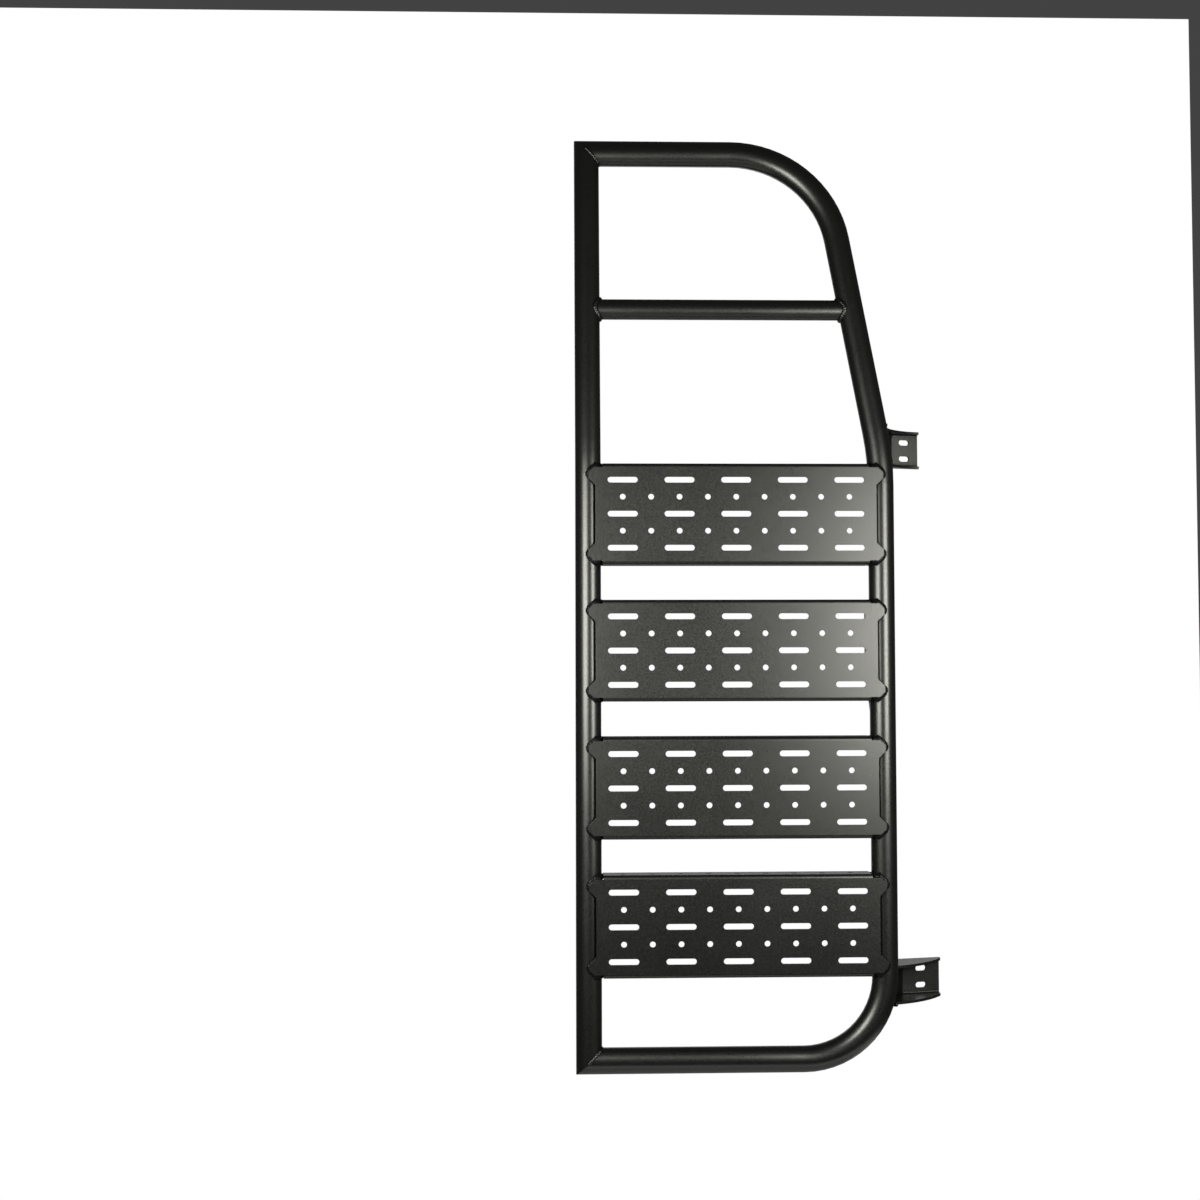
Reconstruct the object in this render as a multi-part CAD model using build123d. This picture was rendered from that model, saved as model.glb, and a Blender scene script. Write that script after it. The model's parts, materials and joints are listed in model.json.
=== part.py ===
from build123d import *
import os
from math import cos, radians, sin, tan

# Van rear door ladder: a welded steel tube frame with four folded step panels, a grab rung, two hinge
# brackets and a stand-off. Millimetres, +Z up. The climbing side faces -Y and the door is on the +Y side.
# It is laid out with X = 0 midway between the uprights, Y = 0 in the plane of their axes and Z = 0 under
# the bottom tube, then moved so that the origin is on the rear face of the upper hinge plate.

# Tube frame
tube_od = 40.0
rail_spacing = 458.5
frame_height = 1470.0
lean_height = 949.5
lean_angle = 7.5
slope_angle = 9.2
bottom_bend_radius = 127.0
lean_bend_radius = 400.0
top_bend_radius = 172.0

# Grab rung
rung_od = 32.0
rung_height = 1190.0

# Step panels
step_count = 4
step_pitch = 211.4
lowest_step_height = 226.5
step_height = 157.0
sheet = 2.5
fold_radius = 6.0
flange_depth = 41.0
flange_gap = 2.1
tab_reach = 229.0
recess_reach = 218.3
tab_height = 17.0
tab_corner = 8.0
tab_drop = 6.0
slot_length = 46.5
slot_width = 9.0
slot_columns = 5
slot_rows = 3
slot_pitch = 88.0
hole_diameter = 9.0
hole_columns = 9
hole_rows = 2
hole_pitch = 44.0
row_pitch = 52.7
flange_hole_diameter = 8.0

# Hinge brackets
plate = 4.0
bracket_height = 60.0
bracket_bend_radius = 6.5
bolt_slot_length = 18.0
bolt_slot_width = 9.0
bolt_slot_spacing = 26.5
bolt_slot_count = 2
web_root_depth = 12.0
flange_end_depth = 14.0
flange_end_inset = 3.0
upper_bracket = {
    "height": 976.0,
    "angle": 14.0,
    "inner": (267.0, 103.4),
    "outer_x": 314.0,
    "slot_x": 290.0,
    "web_offset": -7.0,
    "flange_root": (18.0, 6.0),
    "edge_bow": -22.0,
}
lower_bracket = {
    "height": 128.5,
    "angle": 12.0,
    "inner": (271.5, 80.4),
    "outer_x": 335.5,
    "slot_x": 304.0,
    "web_offset": -12.0,
    "flange_root": (18.0, 13.0),
    "edge_bow": 10.0,
}

# Stand-off behind the bent rail
strap = 6.0
strap_width = 32.0
strap_bend_radius = 8.0
strap_top = 718.0
strap_elbow = 618.0
strap_reach = 62.8
strap_leg_angle = 32.5
gusset = 5.0
gusset_shift = 10.5
gusset_low_at_rail = 637.0
gusset_low_at_pad = 626.0

# How far cutting shapes run past what they cut
cut_margin = 120.0

# Derived places
tube_radius = tube_od / 2
rail_x = rail_spacing / 2
top_axis = frame_height - tube_radius
lean = tan(radians(lean_angle))
slope = tan(radians(slope_angle))
face_back = -tube_radius
face_front = face_back - sheet
flange_back = face_front + flange_depth
flange_end = rail_x - tube_radius - flange_gap


def rail_point(side, height):
    """Axis of the left (-1) or right (1) upright at a height, with its corners left sharp."""
    above = max(0.0, height - lean_height)
    inward = slope * above if side > 0 else 0.0
    return Vector(side * rail_x - inward, lean * above, height)


def tube_along(points, radii):
    """Round bar along straight runs joined by tangent arcs."""
    path = FilletPolyline(*points, radius=radii)
    return sweep(Plane(origin=path @ 0, z_dir=path % 0) * Circle(tube_radius), path=path)


# Uprights, mitred where they meet
low_corner = rail_point(-1, tube_radius)
high_corner = rail_point(-1, top_axis)
rail_up = Vector(0, sin(radians(lean_angle)), cos(radians(lean_angle)))
along_x = Vector(1, 0, 0)
straight_up = Vector(0, 0, 1)
low_mitre = Plane(origin=low_corner, z_dir=along_x - straight_up)
high_mitre = Plane(origin=high_corner, z_dir=along_x + rail_up)


def mitred(tube, waste_side):
    """Cut a tube along both corner planes, taking off what is on one side (-1 or 1) of them."""
    waste = Pos(Z=waste_side * tube_od) * Box(cut_margin, cut_margin, 2 * tube_od)
    return tube - low_mitre * waste - high_mitre * waste


left_rail = mitred(
    tube_along(
        [low_corner - straight_up * tube_od, rail_point(-1, lean_height), high_corner + rail_up * tube_od],
        [lean_bend_radius],
    ),
    1,
)
bent_rail = mitred(
    tube_along(
        [
            low_corner - along_x * tube_od,
            rail_point(1, tube_radius),
            rail_point(1, lean_height),
            rail_point(1, top_axis),
            high_corner - along_x * tube_od,
        ],
        [bottom_bend_radius, lean_bend_radius, top_bend_radius],
    ),
    -1,
)

# Grab rung, coped to both uprights
rung_left = rail_point(-1, rung_height)
rung_run = rail_point(1, rung_height).X - rung_left.X
rung_bar = extrude(Plane(origin=rung_left, z_dir=along_x) * Circle(rung_od / 2), amount=rung_run)
grab_rung = rung_bar - left_rail - bent_rail


def fold_section(inset, radius, back):
    """Section of the folded panel in the YZ plane, open at the back, inset from its outer skin."""
    front = face_front + inset
    half = step_height / 2 - inset
    skin = FilletPolyline((back, -half), (front, -half), (front, half), (back, half), radius=radius)
    return make_face(skin + Line(skin @ 1, skin @ 0))


def end_tabs(side):
    """Outline, from the front, of the face beyond the flanges, with a tab at each corner."""
    end = side * flange_end
    tip = side * tab_reach
    recess = side * recess_reach
    top = step_height / 2 - tab_drop
    tab_low = top - tab_height
    upper = [
        (end, top),
        (tip - side * tab_corner, top),
        (tip, top - tab_corner),
        (tip, tab_low),
        (recess, tab_low - abs(tip - recess)),
    ]
    lower = [(x, -z) for x, z in reversed(upper)]
    return Polygon(*upper, *lower, align=None)


def step_panel():
    """One step, centred on Z = 0: folded face, flanges, corner tabs, slots and holes."""
    section = fold_section(0, fold_radius, flange_back)
    section -= fold_section(sheet, fold_radius - sheet, flange_back + sheet)
    panel = Pos(X=-flange_end) * extrude(Plane.YZ * section, amount=2 * flange_end)
    face = Plane(origin=(0, face_back, 0), x_dir=(1, 0, 0), z_dir=(0, -1, 0))
    for side in (-1, 1):
        panel += extrude(face * end_tabs(side), amount=sheet, dir=(0, -1, 0))
    slot_grid = GridLocations(slot_pitch, row_pitch, slot_columns, slot_rows)
    hole_grid = GridLocations(hole_pitch, row_pitch, hole_columns, hole_rows)
    openings = slot_grid * SlotOverall(slot_length, slot_width)
    openings += hole_grid * Circle(hole_diameter / 2)
    panel -= extrude(face * Sketch(openings), amount=2 * sheet, both=True)
    flange = Plane(origin=(0, (face_front + flange_back) / 2, step_height / 2))
    drains = GridLocations(hole_pitch, 1, hole_columns, 1) * Circle(flange_hole_diameter / 2)
    return panel - extrude(flange * Sketch(drains), amount=2 * sheet, both=True)


# Hinge plates are turned about Z so that their outer ends stand further back, as the door edge does
def plate_run(bracket):
    """Level direction along a hinge plate, outwards."""
    turn = radians(bracket["angle"])
    return Vector(cos(turn), sin(turn), 0)


def plate_back(bracket):
    """Direction square to a hinge plate, towards the door."""
    turn = radians(bracket["angle"])
    return Vector(-sin(turn), cos(turn), 0)


def plate_point(bracket, x, depth):
    """Point of a hinge plate at an X and a depth behind its front face, at the bracket's mid height."""
    inner = Vector(*bracket["inner"], bracket["height"])
    run = plate_run(bracket)
    front = inner + run * ((x - inner.X) / run.X)
    return front + plate_back(bracket) * depth


def bowed_edge(start, end, bow):
    """Arc in plan from a flange's outer end to the tube, bowed outwards, or inwards if the bow is negative."""
    chord = end - start
    outwards = Vector(-chord.Y, chord.X, 0).normalized()
    return ThreePointArc(start, (start + end) * 0.5 + outwards * bow, end)


def slab(outline, bracket, height):
    """Upright prism of a plan outline, centred on the bracket's mid height."""
    low = bracket["height"] - height / 2
    return Pos(Z=low) * extrude(outline, amount=height, dir=(0, 0, 1))


def hinge_bracket(bracket):
    """Folded channel with two bolt slots, and the web plate between its flanges."""
    inner_x = bracket["inner"][0]
    outer_x = bracket["outer_x"]
    run = plate_run(bracket)
    back = plate_back(bracket)
    axis = rail_point(1, bracket["height"])
    web_start = Vector(axis.X + bracket["web_offset"], axis.Y + web_root_depth, 0)
    rear_inner = plate_point(bracket, inner_x, plate)
    rear_outer = plate_point(bracket, outer_x, plate)
    in_plan = [Vector(p.X, p.Y, 0) for p in (rear_inner, rear_outer, axis)]
    outer_end = in_plan[1] - back * flange_end_depth - run * flange_end_inset
    free_end = in_plan[2] + Vector(*bracket["flange_root"], 0)
    sides = Polyline(free_end, in_plan[2], web_start, in_plan[0], in_plan[1], outer_end)
    outline = make_face(sides + bowed_edge(outer_end, free_end, bracket["edge_bow"]))
    block = slab(outline, bracket, bracket_height)
    rear_edges = [
        e for e in block.edges().filter_by(GeomType.LINE)
        if abs((e % 0.5).Z) < 0.01 and abs((e % 0.5).dot(back)) < 0.01
    ]
    block = fillet(rear_edges, bracket_bend_radius)
    front_inner = plate_point(bracket, inner_x - cut_margin, 0)
    front_outer = plate_point(bracket, outer_x + cut_margin, 0)
    forward = back * -cut_margin
    pocket_plan = [front_inner, front_outer, front_outer + forward, front_inner + forward]
    pocket_outline = Polygon(*[(p.X, p.Y) for p in pocket_plan], align=None)
    pocket = slab(pocket_outline, bracket, bracket_height - 2 * plate)
    bend_edges = pocket.edges().filter_by(lambda e: abs((e % 0.5).dot(run)) > 0.99)
    bend_edges = bend_edges.sort_by(lambda e: (e @ 0.5).dot(back))[-2:]
    pocket = fillet(bend_edges, bracket_bend_radius - plate)
    channel = block - pocket - bent_rail
    seat = Plane(origin=plate_point(bracket, bracket["slot_x"], 0), x_dir=run, z_dir=back)
    slot_grid = GridLocations(1, bolt_slot_spacing, 1, bolt_slot_count)
    slots = slot_grid * SlotOverall(bolt_slot_length, bolt_slot_width)
    channel -= extrude(seat * Sketch(slots), amount=2 * plate, both=True)
    web_run = (in_plan[0] - web_start).normalized()
    across = Vector(web_run.Y, -web_run.X, 0) * plate
    web_plan = [web_start, in_plan[0], in_plan[0] + across, web_start + across]
    web = slab(Polygon(*[(p.X, p.Y) for p in web_plan], align=None), bracket, bracket_height)
    return channel, (web & pocket) - bent_rail


def standoff():
    """Bent strap from the back of the bent rail to a pad and down a leg, with a gusset plate inside."""
    level = strap_top - strap / 2
    pad_y = strap_reach - strap / 2
    foot = strap_elbow - pad_y / tan(radians(strap_leg_angle))
    corners = [(rail_x, 0, level), (rail_x, pad_y, level), (rail_x, pad_y, strap_elbow), (rail_x, 0, foot)]
    path = FilletPolyline(*corners, radius=[strap_bend_radius, strap_bend_radius])
    start = Plane(origin=path @ 0, x_dir=(1, 0, 0), z_dir=path % 0)
    bent = sweep(start * Rectangle(strap_width, strap), path=path) - bent_rail
    side = Plane(origin=(rail_x + gusset_shift, 0, 0), x_dir=(0, 1, 0), z_dir=(1, 0, 0))
    top = strap_top - strap
    reach = strap_reach - strap
    outline = [(0, top), (reach, top), (reach, gusset_low_at_pad), (0, gusset_low_at_rail)]
    fin = extrude(side * Polygon(*outline, align=None), amount=gusset / 2, both=True)
    return bent, fin - bent_rail - bent


parts = {"left_rail": left_rail, "bent_rail": bent_rail, "grab_rung": grab_rung}
step = step_panel()
for number in range(step_count):
    parts[f"step_{number + 1}"] = Pos(Z=lowest_step_height + number * step_pitch) * step
parts["upper_hinge_channel"], parts["upper_hinge_web"] = hinge_bracket(upper_bracket)
parts["lower_hinge_channel"], parts["lower_hinge_web"] = hinge_bracket(lower_bracket)
parts["standoff_strap"], parts["standoff_gusset"] = standoff()

# The origin is midway between the bolt slots on the rear face of the upper hinge plate
origin = plate_point(upper_bracket, upper_bracket["slot_x"], plate)
os.makedirs("parts", exist_ok=True)
for name, shape in parts.items():
    export_step(Pos(-origin) * shape, f"parts/{name}.step")
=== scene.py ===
import json
import random
from math import cos, pi, radians, sin, sqrt, tan

import bmesh
import bpy
from mathutils import Matrix, Vector

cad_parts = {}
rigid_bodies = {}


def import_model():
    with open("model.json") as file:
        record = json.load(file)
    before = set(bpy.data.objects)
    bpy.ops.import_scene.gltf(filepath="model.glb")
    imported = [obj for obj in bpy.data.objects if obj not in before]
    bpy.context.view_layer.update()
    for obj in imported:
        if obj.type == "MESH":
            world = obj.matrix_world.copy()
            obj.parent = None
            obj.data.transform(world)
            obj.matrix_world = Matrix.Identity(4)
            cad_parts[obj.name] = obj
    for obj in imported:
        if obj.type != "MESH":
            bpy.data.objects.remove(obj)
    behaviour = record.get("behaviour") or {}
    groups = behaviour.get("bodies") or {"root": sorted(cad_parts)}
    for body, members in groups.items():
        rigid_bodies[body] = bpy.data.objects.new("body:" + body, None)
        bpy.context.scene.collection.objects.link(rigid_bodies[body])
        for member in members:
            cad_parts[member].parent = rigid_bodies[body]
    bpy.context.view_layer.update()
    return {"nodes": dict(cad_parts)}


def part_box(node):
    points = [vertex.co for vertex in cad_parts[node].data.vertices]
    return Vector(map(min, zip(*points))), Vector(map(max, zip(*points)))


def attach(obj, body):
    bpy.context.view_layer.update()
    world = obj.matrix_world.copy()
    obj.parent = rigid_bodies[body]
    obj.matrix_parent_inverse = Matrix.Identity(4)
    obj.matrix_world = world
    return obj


# Van rear door ladder: finishes, weld beads, studio and camera around the solid model.
# Metres, +Z up. Places are measured from the middle of the ladder's foot: X = 0 midway between
# the uprights, Y = 0 in the plane of their axes below the bend and Z = 0 under the bottom tube.

for stray in list(bpy.data.objects):
    bpy.data.objects.remove(stray)
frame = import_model()

# Sizes read from the solids
rail_low, rail_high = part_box("left_rail")
panel_low, panel_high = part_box("step_1")
rung_low, rung_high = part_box("grab_rung")
tube_radius = (rail_high.x - rail_low.x) / 2
rung_radius = (rung_high.z - rung_low.z) / 2
foot = Vector(((panel_low.x + panel_high.x) / 2, rail_low.y + tube_radius, rail_low.z))
rail_x = foot.x - (rail_low.x + rail_high.x) / 2
top_axis = rail_high.z - foot.z - tube_radius
rung_height = (rung_low.z + rung_high.z) / 2 - foot.z

# Bend of the uprights: both lean towards the door, and the right one also towards the left
lean_height = 0.9495
lean = tan(radians(7.5))
slope = tan(radians(9.2))

# Weld beads: their section, ripples, radii and tapered ends
bead_step = 0.0008
bead_sides = 14
fewest_bead_steps = 4
bead_end_share = 0.45
ripple_pitch = 0.0032
ripple_height = 0.0003
wobble = 0.0002
mitre_bead = 0.0030
rung_bead = 0.0036
bracket_bead = 0.0030
standoff_bead = 0.0027

# Mitre beads lie a little under the tubes' skin and reach this many degrees to either side
mitre_sink = 0.0011
mitre_reach = 100
mitre_steps = 24

# Steps of the other curved beads
rung_steps = 48
bracket_steps = 16
strap_steps = 6

# Bracket beads: angles on the upright from +X towards +Y, and distance inside the bracket's ends
bracket_top_arc = (25, 125)
bracket_foot_arc = (15, 125)
bracket_top_inset = 0.004
bracket_foot_inset = 0.001

# Stand-off beads: half the width on the strap, and the ends on the gusset's lower corner
strap_half_width = 0.0155
gusset_bead_top = 0.012
gusset_bead_foot = 0.004
gusset_bead_back = 0.001

# Bead round a step's corner tab: distance in from the upright's axis, depth, distance up or down
# from the middle of the step, and radius
tab_outline = (
    (0.0210, 0.0080, 0.0760, 0.0028),
    (0.0208, -0.0030, 0.0760, 0.0032),
    (0.0180, -0.0095, 0.0750, 0.0050),
    (0.0140, -0.0112, 0.0725, 0.0085),
    (0.0106, -0.0113, 0.0722, 0.0106),
    (0.0068, -0.0130, 0.0708, 0.0090),
    (0.0024, -0.0152, 0.0674, 0.0069),
    (0.0004, -0.0161, 0.0628, 0.0060),
    (0.0003, -0.0164, 0.0580, 0.0056),
    (0.0014, -0.0164, 0.0540, 0.0053),
)

# Powder coat: colours, sizes of the mottling, its share of the roughness, and softened edges
deep_black = (0.0018, 0.0018, 0.0017, 1)
soft_black = (0.003, 0.003, 0.0028, 1)
# Warm tint of the coat's reflections: painted warm light, standing in for the colour of the lamps
warm_shine = (1, 1, 0.91, 1)
cloud_size = 0.11
peel_size = 0.0045
cloud_roughness = 0.07
grain_roughness = 0.26
edge_radius = 0.0009
shading_samples = 4

# Painted shade in crevices: depth within which ambient occlusion darkens the coat, and the openness at
# which this painted shade starts and ends
crevice_reach = 0.008
crevice_closed = 0.62
crevice_open = 0.82

# Share of turning away at which painted shade starts: seen at a glance, the coat is darkened and loses
# its rim reflection
glance_start = 0.78

# Studio
stage_pale = (0.86, 0.86, 0.86, 1)
pure_white = (1, 1, 1, 1)
floor_drop = 0.64
floor_radius = 1.05
floor_back = 0.2
floor_sides = 96
card_distance = 16.0
card_height = 1.0
card_size = 7.05
fill_level = 0.055
lamp_power = 15.0
lamp_aim_height = 0.74

# Soft boxes: name, place, width, height and share of the lamp power
softboxes = (
    ("left_softbox", (-0.732, -0.976, 0.742), 0.74, 0.57, 1.04),
    ("right_softbox", (0.68, -1.03, 0.733), 0.58, 0.635, 0.93),
)

# Camera, with its angles in degrees
lens_length = 50.0
sensor_width = 36.0
camera_place = (-0.2914, -2.5852, 0.6201)
camera_turn = -1.785
camera_tilt = 2.393
camera_roll = 0.142

random_wobble = random.Random(11)


def at(x, y, z):
    """Point of the ladder's frame from its place relative to the foot."""
    return foot + Vector((x, y, z))


def rail_axis(side, height):
    """Axis of the left (-1) or right (1) upright at a height above the foot."""
    above = max(0.0, height - lean_height)
    inward = slope * above if side > 0 else 0.0
    return at(side * rail_x - inward, lean * above, height)


def rail_direction(side, height):
    """Unit vector up the upright at a height."""
    if height < lean_height:
        return Vector((0, 0, 1))
    return Vector((-slope if side > 0 else 0.0, lean, 1)).normalized()


class Amount:
    """A number that varies over a surface, usable in plain arithmetic."""

    def __init__(self, tree, socket):
        self.tree = tree
        self.socket = socket

    def work(self, operation, first, second):
        node = self.tree.nodes.new("ShaderNodeMath")
        node.operation = operation
        for entry, value in zip(node.inputs, (first, second)):
            if isinstance(value, Amount):
                self.tree.links.new(value.socket, entry)
            else:
                entry.default_value = value
        return Amount(self.tree, node.outputs[0])

    def __add__(self, other):
        return self.work("ADD", self, other)

    def __sub__(self, other):
        return self.work("SUBTRACT", self, other)

    def __mul__(self, other):
        return self.work("MULTIPLY", self, other)

    def highest(self, other):
        return self.work("MAXIMUM", self, other)

    __radd__ = __add__
    __rmul__ = __mul__


class Finish:
    """One material and the nodes in it."""

    def __init__(self, name):
        self.material = bpy.data.materials.new(name)
        self.material.use_nodes = True
        self.tree = self.material.node_tree
        self.tree.nodes.clear()

    def node(self, kind, settings=None, sockets=None):
        """Add a node, set it up, fill its sockets with values or links and return its outputs."""
        made = self.tree.nodes.new(kind)
        for name, value in (settings or {}).items():
            setattr(made, name, value)
        for name, value in (sockets or {}).items():
            entry = made.inputs[name]
            if isinstance(value, Amount):
                self.tree.links.new(value.socket, entry)
            else:
                entry.default_value = value
        return {out.name: Amount(self.tree, out) for out in made.outputs if out.enabled}

    def ramp(self, value, start, end, first, last):
        """Number that goes smoothly from first to last while a value goes from start to end."""
        return self.node(
            "ShaderNodeMapRange",
            {"interpolation_type": "SMOOTHSTEP"},
            {"Value": value, "From Min": start, "From Max": end, "To Min": first, "To Max": last},
        )["Result"]

    def blend(self, share, first, second):
        """Make the surface one shader where the share is 0 and another where it is 1."""
        mixed = self.node("ShaderNodeMixShader", {}, {0: share, 1: first, 2: second})["Shader"]
        self.node("ShaderNodeOutputMaterial", {}, {"Surface": mixed})
        return self.material


def powder_coat(name, grain_height, grain_size, gloss, painted_shade_share=0.0):
    """Satin black powder coat: fine grain over a slight orange peel.

    It is blended into a dark rough shader as painted shade: in crevices, where it is seen at a glance,
    and by the share of painted shade given.
    """
    coat = Finish(name)
    place = coat.node("ShaderNodeTexCoord")["Object"]

    def mottle(size, detail):
        return coat.node(
            "ShaderNodeTexNoise",
            {"noise_dimensions": "3D"},
            {"Vector": place, "Scale": 1 / size, "Detail": detail, "Roughness": 0.55},
        )["Fac"]

    cloud = mottle(cloud_size, 3.0)
    peel = mottle(peel_size, 1.0)
    grain = mottle(grain_size, 2.0)
    tone = coat.node(
        "ShaderNodeMix",
        {"data_type": "RGBA"},
        {"Factor": cloud, "A": deep_black, "B": soft_black},
    )["Result"]
    roughness = gloss + cloud_roughness * (cloud - 0.5) + grain_roughness * (grain - 0.5)
    edge = coat.node(
        "ShaderNodeBevel",
        {"samples": shading_samples},
        {"Radius": edge_radius},
    )["Normal"]
    skin = coat.node(
        "ShaderNodeBump",
        {},
        {
            "Strength": 0.5,
            "Distance": grain_height,
            "Height": grain + 0.8 * peel,
            "Normal": edge,
        },
    )["Normal"]
    paint = coat.node(
        "ShaderNodeBsdfPrincipled",
        {},
        {
            "Base Color": tone,
            "Roughness": roughness,
            "IOR": 1.75,
            "Specular Tint": warm_shine,
            "Normal": skin,
        },
    )["BSDF"]
    # Dark rough shader that paints shade over the coat
    painted_shade_bsdf = coat.node(
        "ShaderNodeBsdfPrincipled",
        {},
        {"Base Color": deep_black, "Roughness": 0.9, "IOR": 1.2},
    )["BSDF"]
    # Painted shade in crevices: where ambient occlusion finds a hollow, the coat turns dark
    openness = coat.node(
        "ShaderNodeAmbientOcclusion",
        {"samples": shading_samples},
        {"Distance": crevice_reach},
    )["AO"]
    crevice = coat.ramp(openness, crevice_closed, crevice_open, 1.0, 0.0)
    # Painted shade on the rims, where the coat is seen at a glance
    facing = coat.node("ShaderNodeLayerWeight", {}, {"Blend": 0.5})["Facing"]
    glance = coat.ramp(facing, glance_start, 1.0, 0.0, 1.0)
    return coat.blend(crevice.highest(glance).highest(painted_shade_share), paint, painted_shade_bsdf)


def stage_white(name, whiteness, centre, reach):
    """Pale stage surface that is seen as white at its rim, and at its centre by the whiteness.

    Where it isn't seen as white it takes light and shadow.
    """
    cover = Finish(name)
    place = cover.node("ShaderNodeTexCoord")["Object"]
    away = cover.node(
        "ShaderNodeVectorMath",
        {"operation": "DISTANCE"},
        {0: place, 1: centre},
    )["Value"]
    bare = cover.ramp(away, 0.5 * reach, reach, whiteness, 1.0)
    rays = cover.node("ShaderNodeLightPath")
    seen = rays["Is Camera Ray"].highest(rays["Is Glossy Ray"]).highest(rays["Is Transmission Ray"])
    pale = cover.node("ShaderNodeBsdfDiffuse", {}, {"Color": stage_pale})["BSDF"]
    white = cover.node(
        "ShaderNodeEmission",
        {},
        {"Color": pure_white, "Strength": 1.0},
    )["Emission"]
    return cover.blend(bare * seen, pale, white)


def as_object(name, shape):
    """Close a bmesh into a mesh object at the origin, smooth shaded."""
    bmesh.ops.recalc_face_normals(shape, faces=shape.faces)
    mesh = bpy.data.meshes.new(name)
    shape.to_mesh(mesh)
    shape.free()
    mesh.shade_smooth()
    made = bpy.data.objects.new(name, mesh)
    bpy.context.scene.collection.objects.link(made)
    return made


def weld_piece(name, beads, finish):
    """One piece made of several weld beads, riding on the ladder."""
    shape = bmesh.new()
    for bead in beads:
        lay_bead(shape, *bead)
    piece = as_object(name, shape)
    piece.data.materials.append(finish)
    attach(piece, "root")


def evenly(points):
    """Points every bead step along a line of straight runs."""
    runs = [(b - a).length for a, b in zip(points, points[1:])]
    count = max(fewest_bead_steps, round(sum(runs) / bead_step))
    spaced = []
    for index in range(count + 1):
        left = sum(runs) * index / count
        for run, (a, b) in zip(runs, zip(points, points[1:])):
            if left <= run + 1e-9:
                spaced.append(a.lerp(b, min(1.0, left / run)))
                break
            left -= run
    return spaced


def line_of(points, radius):
    """Line of a bead that is as thick all along: each place with its radius as a fourth number."""
    return [Vector((*point, radius)) for point in points]


def lay_bead(shape, places, closed=False):
    """Rippled bead of weld along a line of places, each with its own radius."""
    line = evenly(places)
    last = len(line) - 1
    loops = []
    for index, place in enumerate(line):
        before = line[index - 1] if index > 0 else (line[-2] if closed else place)
        after = line[index + 1] if index < last else (line[1] if closed else place)
        turn = (after - before).to_3d().to_track_quat("Z", "Y").to_matrix().to_4x4()
        reach = min(index, last - index) * bead_step
        swell = bead_end_share + (1 - bead_end_share) * sqrt(reach / place.w)
        taper = 1.0 if closed else min(1.0, swell)
        ripple = ripple_height * cos(2 * pi * index * bead_step / ripple_pitch)
        ripple += wobble * (random_wobble.random() - 0.5)
        ring = bmesh.ops.create_circle(
            shape,
            cap_ends=False,
            radius=(place.w + ripple) * taper,
            segments=bead_sides,
            matrix=Matrix.Translation(place.to_3d()) @ turn,
        )["verts"]
        loops.append(list({edge for corner in ring for edge in corner.link_edges}))
    if closed:
        loops[-1] = loops[0]
    for low, high in zip(loops, loops[1:]):
        bmesh.ops.bridge_loops(shape, edges=low + high)
    if not closed:
        for end in (loops[0], loops[-1]):
            bmesh.ops.edgeloop_fill(shape, edges=end)


def on_tube(dx):
    """Distance from an upright's axis back to its skin, at a sideways offset."""
    return sqrt(max(0.0, tube_radius ** 2 - dx ** 2))


def tab_beads(middle):
    """Beads round the four corner tabs of a step whose middle is at a height."""
    beads = []
    for side in (-1, 1):
        for level in (-1, 1):
            places = []
            for inset, y, z, radius in tab_outline:
                point = at(side * (rail_x - inset), y, middle + level * z)
                places += line_of([point], radius)
            beads.append((places,))
    return beads


def mitre_line(corner, inward, depth):
    """Inner half of the joint between two tubes cut at 45 degrees, from front to back."""
    radius = tube_radius - mitre_sink
    points = []
    for number in range(mitre_steps + 1):
        angle = radians(-mitre_reach + number * 2 * mitre_reach / mitre_steps)
        points.append(corner + radius * (cos(angle) * inward + sin(angle) * depth))
    return points


def mitre_beads():
    """Beads in the inner corners of the left upright's two mitres."""
    along = Vector((1, 0, 0))
    up = rail_direction(-1, top_axis)
    back = Vector((0, 1, 0))
    low = mitre_line(rail_axis(-1, tube_radius), along + Vector((0, 0, 1)), back)
    high = mitre_line(rail_axis(-1, top_axis), along - up, along.cross(up) * -1)
    return [(line_of(low, mitre_bead),), (line_of(high, mitre_bead),)]


def rung_beads():
    """Beads round both ends of the grab rung, on the skin of the uprights."""
    beads = []
    for side in (-1, 1):
        axis = rail_axis(side, rung_height)
        up = rail_direction(side, rung_height)
        outward = Vector((side, 0, 0))
        start = at(0, axis.y - foot.y, rung_height)
        points = []
        for number in range(rung_steps + 1):
            angle = 2 * pi * number / rung_steps
            rim = start + Vector((0, rung_radius * sin(angle), rung_radius * cos(angle)))
            gap = rim - axis
            gap -= up * gap.dot(up)
            flat = outward - up * outward.dot(up)
            a = flat.length_squared
            b = gap.dot(flat)
            c = gap.length_squared - tube_radius ** 2
            points.append(rim + outward * ((-b - sqrt(b * b - a * c)) / a))
        beads.append((line_of(points, rung_bead), True))
    return beads


def arc_on_tube(height, start, end):
    """Arc round the right upright's skin at a height, between two angles from +X towards +Y."""
    axis = rail_axis(1, height)
    points = []
    for number in range(bracket_steps + 1):
        angle = radians(start + (end - start) * number / bracket_steps)
        points.append(axis + tube_radius * Vector((cos(angle), sin(angle), 0)))
    return points


def bracket_beads(node):
    """Beads where the flanges of a hinge bracket meet the upright, above and below."""
    low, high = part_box(node)
    above = arc_on_tube(high.z - foot.z - bracket_top_inset, *bracket_top_arc)
    below = arc_on_tube(low.z - foot.z + bracket_foot_inset, *bracket_foot_arc)
    return [(line_of(above, bracket_bead),), (line_of(below, bracket_bead),)]


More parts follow.
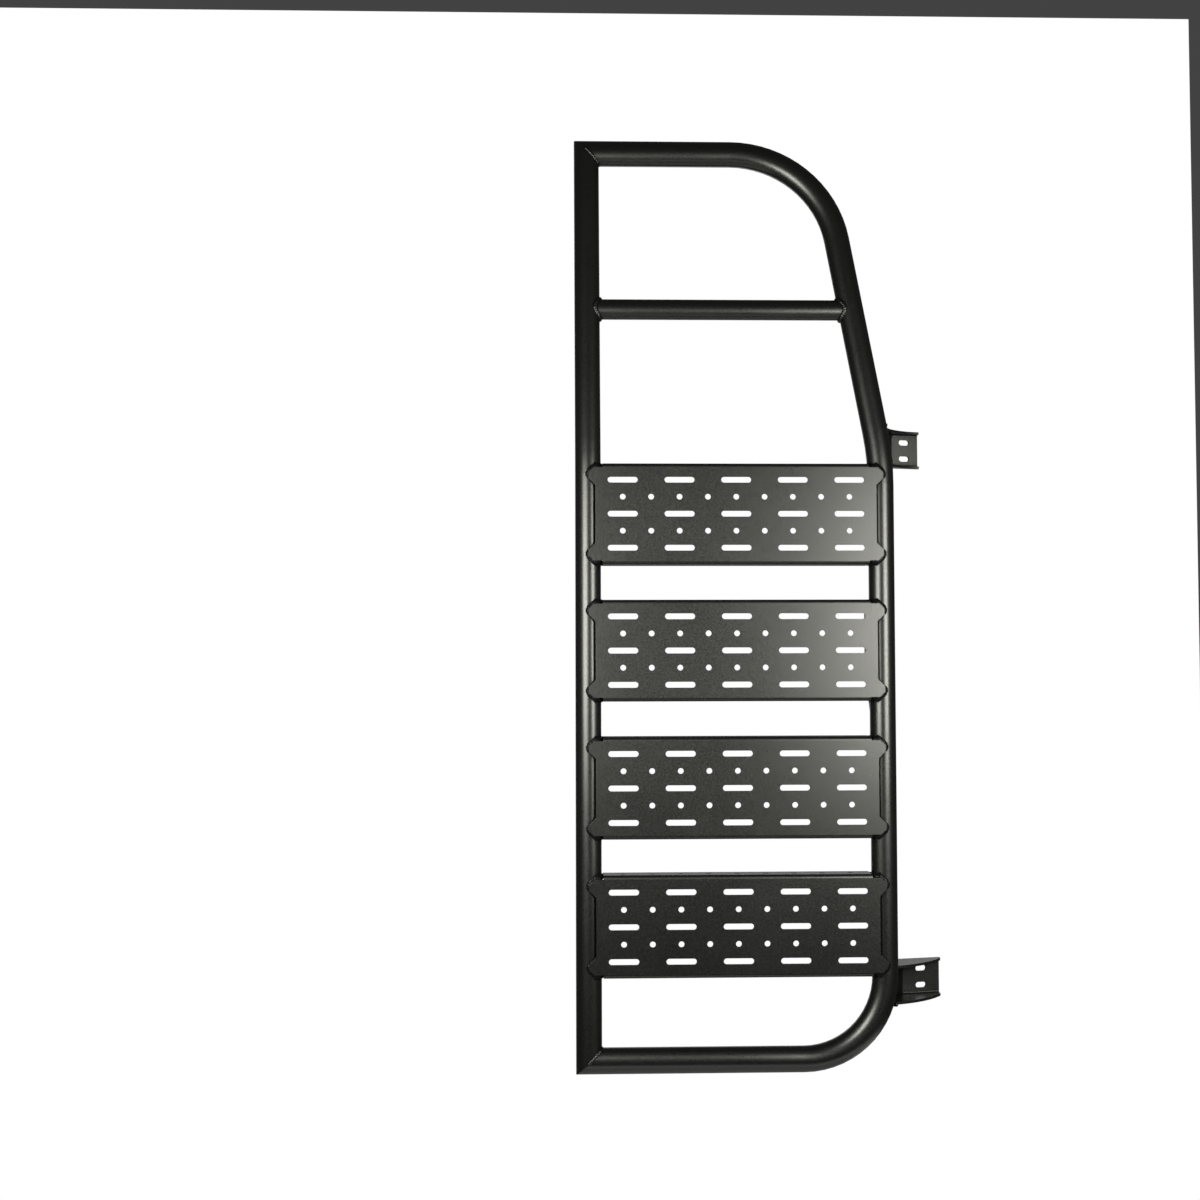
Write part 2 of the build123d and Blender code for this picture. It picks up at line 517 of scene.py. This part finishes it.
def standoff_beads():
    """Beads at the top of the stand-off strap and at the gusset's lower corner."""
    strap_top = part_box("standoff_strap")[1].z - foot.z
    across = []
    for number in range(-strap_steps, strap_steps + 1):
        dx = strap_half_width * number / strap_steps
        across.append(at(rail_x + dx, on_tube(dx), strap_top))
    fin_low, fin_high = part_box("standoff_gusset")
    fin_x = (fin_low.x + fin_high.x) / 2 - foot.x
    fin_foot = fin_low.z - foot.z
    skin = on_tube(fin_x - rail_x)
    corner = [
        at(fin_x, skin, fin_foot + gusset_bead_top),
        at(fin_x, skin + gusset_bead_back, fin_foot + gusset_bead_foot),
    ]
    return [(line_of(across, standoff_bead),), (line_of(corner, standoff_bead),)]


def dress():
    """Give every solid its finish and add the weld beads."""
    tube_coat = powder_coat("tube_powder_coat", 0.00003, 0.0020, 0.32)
    panel_coat = powder_coat("panel_powder_coat", 0.00009, 0.0027, 0.34)
    bracket_coat = powder_coat("bracket_powder_coat", 0.00009, 0.0027, 0.39)
    # Painted shade on the welds: the tab beads are 0.85 dark rough shader, standing in for the shade
    # and dark reflections on their flanks; the joint beads 0.2
    tab_weld_shaded_coat = powder_coat("tab_weld_painted_shade_coat", 0.00003, 0.0015, 0.34, 0.85)
    joint_weld_coat = powder_coat("joint_weld_powder_coat", 0.00003, 0.0015, 0.30, 0.2)
    for name, node in frame["nodes"].items():
        if name in ("left_rail", "bent_rail", "grab_rung"):
            node.material_slots[0].material = tube_coat
        elif name.startswith("step"):
            node.material_slots[0].material = panel_coat
        else:
            node.material_slots[0].material = bracket_coat
    for number in range(1, 5):
        low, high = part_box(f"step_{number}")
        middle = (low.z + high.z) / 2 - foot.z
        weld_piece(f"step_{number}_welds", tab_beads(middle), tab_weld_shaded_coat)
    weld_piece("mitre_welds", mitre_beads(), joint_weld_coat)
    weld_piece("rung_welds", rung_beads(), joint_weld_coat)
    weld_piece("upper_hinge_welds", bracket_beads("upper_hinge_channel"), joint_weld_coat)
    weld_piece("lower_hinge_welds", bracket_beads("lower_hinge_channel"), joint_weld_coat)
    weld_piece("standoff_welds", standoff_beads(), joint_weld_coat)


def softbox(name, place, aim, width, height, power):
    """Soft studio lamp that the camera doesn't see."""
    lamp = bpy.data.lights.new(name, "AREA")
    lamp.shape = "RECTANGLE"
    lamp.size = width
    lamp.size_y = height
    lamp.energy = power
    made = bpy.data.objects.new(name, lamp)
    made.location = place
    made.rotation_euler = (aim - place).to_track_quat("-Z", "Y").to_euler()
    made.visible_camera = False
    bpy.context.scene.collection.objects.link(made)


def studio():
    """Pale floor, white card far behind, two soft boxes in front and an even fill."""
    shape = bmesh.new()
    middle = at(0, floor_back, -floor_drop)
    bmesh.ops.create_circle(
        shape,
        cap_ends=True,
        radius=floor_radius,
        segments=floor_sides,
        matrix=Matrix.Translation(middle),
    )
    floor = as_object("floor", shape)
    floor.data.materials.append(stage_white("floor_white", 0.0, middle, floor_radius))
    shape = bmesh.new()
    behind = at(0, card_distance, card_height)
    upright = Matrix.Translation(behind) @ Matrix.Rotation(radians(90), 4, "X")
    bmesh.ops.create_grid(shape, x_segments=1, y_segments=1, size=card_size, matrix=upright)
    card = as_object("white_card", shape)
    card.data.materials.append(stage_white("card_white", 1.0, behind, card_size))
    aim = at(0, 0, lamp_aim_height)
    for name, place, width, height, share in softboxes:
        softbox(name, at(*place), aim, width, height, lamp_power * share)
    world = bpy.data.worlds.new("studio_fill")
    world.use_nodes = True
    surround = world.node_tree.nodes["Background"]
    surround.inputs["Color"].default_value = pure_white
    surround.inputs["Strength"].default_value = fill_level
    bpy.context.scene.world = world


def camera():
    """Standard lens to the left of the middle, below half height and tilted up a little."""
    lens = bpy.data.cameras.new("camera")
    lens.sensor_width = sensor_width
    lens.lens = lens_length
    made = bpy.data.objects.new("camera", lens)
    aim = Matrix.Rotation(radians(camera_turn), 4, "Z") @ Matrix.Rotation(radians(camera_tilt), 4, "X")
    aim = aim @ Matrix.Rotation(radians(camera_roll), 4, "Y") @ Matrix.Rotation(radians(90), 4, "X")
    made.matrix_world = Matrix.Translation(at(*camera_place)) @ aim
    bpy.context.scene.collection.objects.link(made)
    bpy.context.scene.camera = made


dress()
studio()
camera()
bpy.context.scene.view_settings.view_transform = "Standard"
